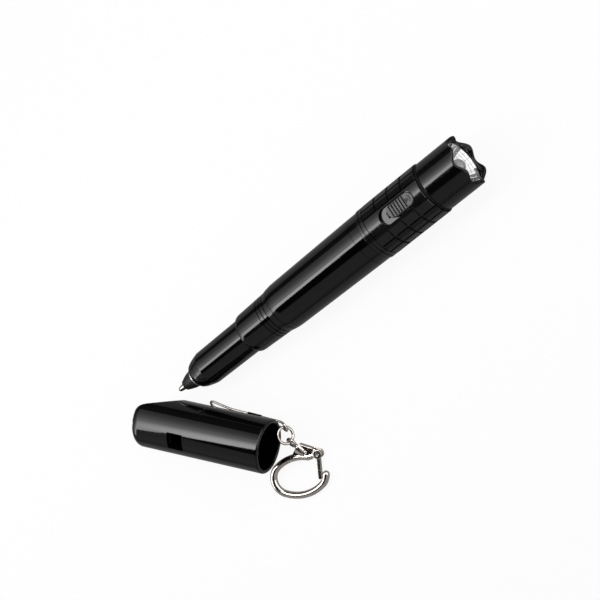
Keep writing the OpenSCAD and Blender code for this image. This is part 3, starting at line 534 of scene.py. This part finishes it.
lens_clear = bpy.data.materials.new("lens_clear")
acrylic = Shader(lens_clear)
spot = acrylic.value("TexCoord", None, None, "Object")
dust = acrylic.value("TexNoise", None, {"Vector": spot, "Scale": dust_scale, "Detail": 3.0})
acrylic.end("Material", acrylic.value("BsdfPrincipled", None, {
    "Base Color": (1, 1, 1, 1), "IOR": lens_bend, "Transmission Weight": 1.0,
    "Roughness": (dust > dust_level) * dust_dull + lens_dull}))
pane = bmesh.new()
disc = bmesh.ops.create_cone(pane, cap_ends=True, radius1=reflector_outer, radius2=reflector_outer,
                             segments=lens_sides, depth=lens_top - lens_foot)["verts"]
bmesh.ops.translate(pane, verts=disc, vec=(0, 0, (lens_top + lens_foot) / 2))
rims = [e for e in pane.edges if abs(e.verts[0].co.z - e.verts[1].co.z) < 1e-4]
rounded(pane, rims, lens_edge, 2)
lay(pane)
finished("lens_pane", pane, "light", lens_clear, stands_for=("lens",))


# Head and its seal
# The black head screws over the sleeve, holds the lens and ends in a crown of six lobes with
# rounded edges. A rubber ring shows between the sleeve and the head.

head_foot = 120.0
head_radius = 8.88
head_bore = 7.98
head_sides = 144
skirt_top = lens_foot - 3
crown_bore = 7.72
crown_top = 134.3
crown_depth = 1.6
crown_lobes = 6
crown_turn = math.radians(2)
wave_foot = lens_top + 0.1
# The head's rounded rims: distance from the pen's tip, radius of the rim, rounding and its steps.
head_rims = ((head_foot, head_radius, 0.2, 2), (crown_top, head_radius, 0.5, 4),
             (crown_top, crown_bore, 0.3, 3))


def on_rim(edge, station, radius):
    """Whether an edge of a turned shape runs round it at a station and radius."""
    return all(abs(v.co.z - station) < 1e-3 and abs(v.co.xy.length - radius) < 1e-3
               for v in edge.verts)


head = turned(((head_bore, head_foot), (head_radius, head_foot), (head_radius, skirt_top),
               (head_radius, crown_top), (crown_bore, crown_top), (crown_bore, lens_top),
               (head_bore, lens_top)), head_sides)
for station, radius, edge, steps in head_rims:
    rounded(head, [e for e in head.edges if on_rim(e, station, radius)], edge, steps)
for vert in head.verts:
    if vert.co.z > wave_foot:
        swing = crown_lobes * (math.atan2(vert.co.y, vert.co.x) - crown_turn)
        vert.co.z -= crown_depth * (1 + math.cos(swing)) / 2
lay(head)
head_gloss = plastic("head_gloss", deep_black, dull=0.10, spread=0.05, grain=0.03,
                     grain_size=0.0022, scuff=0.05)
finished("head_crown", head, "light", head_gloss, stands_for=("head_bezel",))
dress(seal_black, "head_seal")


# Switch
# A satin black button with a stem through the track, pressed into a keeper plate below. Cross
# ribs are moulded in its top, and a small arrow and an arc stand on it.

button_half = 5.25
button_width = 4.7
button_foot = 7.95
button_top = 9.4
button_height = button_top - button_foot
button_station = 110.39
button_edge = 0.3
button_sides = 32
groove_count = 6
groove_pitch = 1.1
groove_width = 0.68
groove_depth = 0.6
groove_draft = 0.1
first_groove = -button_half + 1.35
last_groove = first_groove + groove_count * groove_pitch
stem_size = (2.2, 1.2, 2.2)
stem_drop = 0.9
arrow_at = 2.75
arrow_radius = 0.95
arc_at = 3.0
arc_radii = (1.0, 1.3)
arc_swing = math.radians(124)
arc_steps = 12
mark_root = button_height - 0.1
mark_top = button_height + 0.14


def pulled_up(shape, faces, height):
    """Pulls flat faces up into a block."""
    pulled = bmesh.ops.extrude_face_region(shape, geom=faces)["geom"]
    bmesh.ops.translate(shape, verts=[v for v in pulled if isinstance(v, bmesh.types.BMVert)],
                        vec=(0, 0, height))


def on_top(face):
    """Whether a face of the button looks straight up."""
    return face.normal.z > 0.99


def is_groove(face):
    """Whether a face of the button's top lies between the two cuts of a groove."""
    middle = face.calc_center_median().x
    return (on_top(face) and first_groove < middle < last_groove
            and (middle - first_groove) % groove_pitch < groove_width)


button = bmesh.new()
round_end = button_width / 2
outline = bmesh.ops.create_circle(button, cap_ends=True, radius=round_end,
                                  segments=button_sides)["verts"]
bmesh.ops.rotate(button, verts=outline, cent=(0, 0, 0),
                 matrix=Matrix.Rotation(math.pi / button_sides, 3, "Z"))
for vert in outline:
    vert.co.x += math.copysign(button_half - round_end, vert.co.x)
pulled_up(button, button.faces[:], button_height)
bmesh.ops.recalc_face_normals(button, faces=button.faces)
rounded(button, [e for e in button.edges if all(v.co.z > 0 for v in e.verts)], button_edge, 3)
for i in range(groove_count):
    for side in (0, groove_width):
        tops = [f for f in button.faces if on_top(f)]
        loose = {e for f in tops for e in f.edges} | {v for f in tops for v in f.verts}
        bmesh.ops.bisect_plane(button, geom=tops + list(loose), dist=1e-5, plane_no=(1, 0, 0),
                               plane_co=(first_groove + i * groove_pitch + side, 0, 0))
bmesh.ops.inset_individual(button, faces=[f for f in button.faces if is_groove(f)],
                           thickness=groove_draft, depth=-groove_depth, use_even_offset=True)
stem = bmesh.ops.create_cube(button, size=1.0)["verts"]
bmesh.ops.scale(button, verts=stem, vec=stem_size)
bmesh.ops.translate(button, verts=stem, vec=(0, 0, -stem_drop))
to_track = Matrix(((0, 0, 1, button_foot), (0, 1, 0, 0), (1, 0, 0, button_station), (0, 0, 0, 1)))
lay(button, to_track)
bmesh.ops.recalc_face_normals(button, faces=button.faces)
# These shades lift the black button to a dark grey: painted sheen for the light that falls on its
# top.
switch_shades_with_sheen = ((0.3, (0.028, 0.028, 0.029)), (0.7, (0.040, 0.040, 0.041)))
switch_satin_with_sheen = plastic("switch_satin_with_sheen", switch_shades_with_sheen, dull=0.28, spread=0.10, grain=0.15,
                       grain_size=0.0003)
finished("switch_ribbed", button, "switch", switch_satin_with_sheen,
         stands_for=("switch_button",))

marks = bmesh.new()
arrow = bmesh.ops.create_circle(marks, cap_ends=True, radius=arrow_radius, segments=3)["verts"]
bmesh.ops.rotate(marks, verts=arrow, cent=(0, 0, 0),
                 matrix=Matrix.Rotation(math.radians(-90), 3, "Z"))
bmesh.ops.translate(marks, verts=arrow, vec=(arrow_at, 0, mark_root))
pulled_up(marks, marks.faces[:], mark_top - mark_root)
inner, outer = arc_radii
arc_start = [marks.verts.new((arc_at + reach, 0, height)) for reach, height in (
    (inner, mark_root), (outer, mark_root), (outer, mark_top), (inner, mark_top))]
arc_face = marks.faces.new(arc_start)
bmesh.ops.rotate(marks, verts=arc_start, cent=(arc_at, 0, 0),
                 matrix=Matrix.Rotation(-arc_swing / 2, 3, "Z"))
bmesh.ops.spin(marks, geom=[arc_face, *arc_face.edges, *arc_start], cent=(arc_at, 0, 0),
               axis=(0, 0, 1), angle=arc_swing, steps=arc_steps)
lay(marks, to_track)
bmesh.ops.recalc_face_normals(marks, faces=marks.faces)
finished("switch_marks", marks, "switch", nib_black)
dress(plug_grey, "switch_slider")


# Cap and whistle block
# A polished black cap with a rounded foot, a sloping mouthpiece, the window of the whistle and a
# saddle for the clip, all in one moulding. The fipple block is pushed in under the window.

cap_edge = 0.16 * MM
cap_corner = 24


def softened(name, node, radius, corner, body, material):
    """A copy of a CAD piece that stands for it. Edges sharper than the corner are rounded, by the
    radius or as far as the shortest edge of the piece lets them be."""
    shape = copied(node)
    join_flats(shape)
    corners = [e for e in shape.edges
               if len(e.link_faces) == 2 and e.calc_face_angle() > math.radians(corner)]
    rounded(shape, corners, radius, 3)
    finished(name, shape, body, material, fold=50, stands_for=(node,))


softened("cap_whistle", "cap_shell", cap_edge, cap_corner, "cap", gloss_black)
dress(nib_black, "whistle_block")


# Wire clip
# One closed loop of nickel-plated spring wire through the saddle. It is bent on pins, lifted at
# one end and turned in to an eyelet at the other.

wire_voxel = 0.1 * MM
wire_passes = 4


def melted(name, node, voxel, passes, body, material):
    """A copy of a CAD piece that stands for it, with its edges and joins run together."""
    piece = finished(name, copied(node), body, material, fold=180, stands_for=(node,))
    piece.modifiers.clear()
    skin = piece.modifiers.new("one_skin", "REMESH")
    skin.mode = "VOXEL"
    skin.voxel_size = voxel
    skin.use_smooth_shade = True
    rub = piece.modifiers.new("rubbed", "SMOOTH")
    rub.factor = 0.5
    rub.iterations = passes


wire_nickel = metal("wire_nickel", nickel_shades, dull=0.09, spread=0.10)
melted("clip_wire", "wire_clip", wire_voxel, wire_passes, "cap", wire_nickel)


# Jump ring and swivel eye
# A plated ring hangs on the eyelet, and the eye of the swivel hangs in the ring. Its stem is
# riveted over inside the nut of the hook, so that the hook turns on it.

dress(wire_nickel, "jump_ring", "swivel_eye")


# Hook and gate
# A die-cast hook of round section with a flat web, tumbled so that its edges are soft, and nickel
# plated. The pressed gate turns on a steel pin with one turn of spring wire, and snaps shut
# against the nose.

cast_voxel = 0.11 * MM
cast_passes = 6
gate_edge = 0.18 * MM
gate_corner = 32
cast_nickel = metal("cast_nickel", nickel_shades, dull=0.10, spread=0.12)
melted("hook_cast", "hook_body", cast_voxel, cast_passes, "hook", cast_nickel)
softened("gate_pressed", "hook_gate", gate_edge, gate_corner, "gate", cast_nickel)
dress(bare_steel, "gate_pin", "gate_spring")
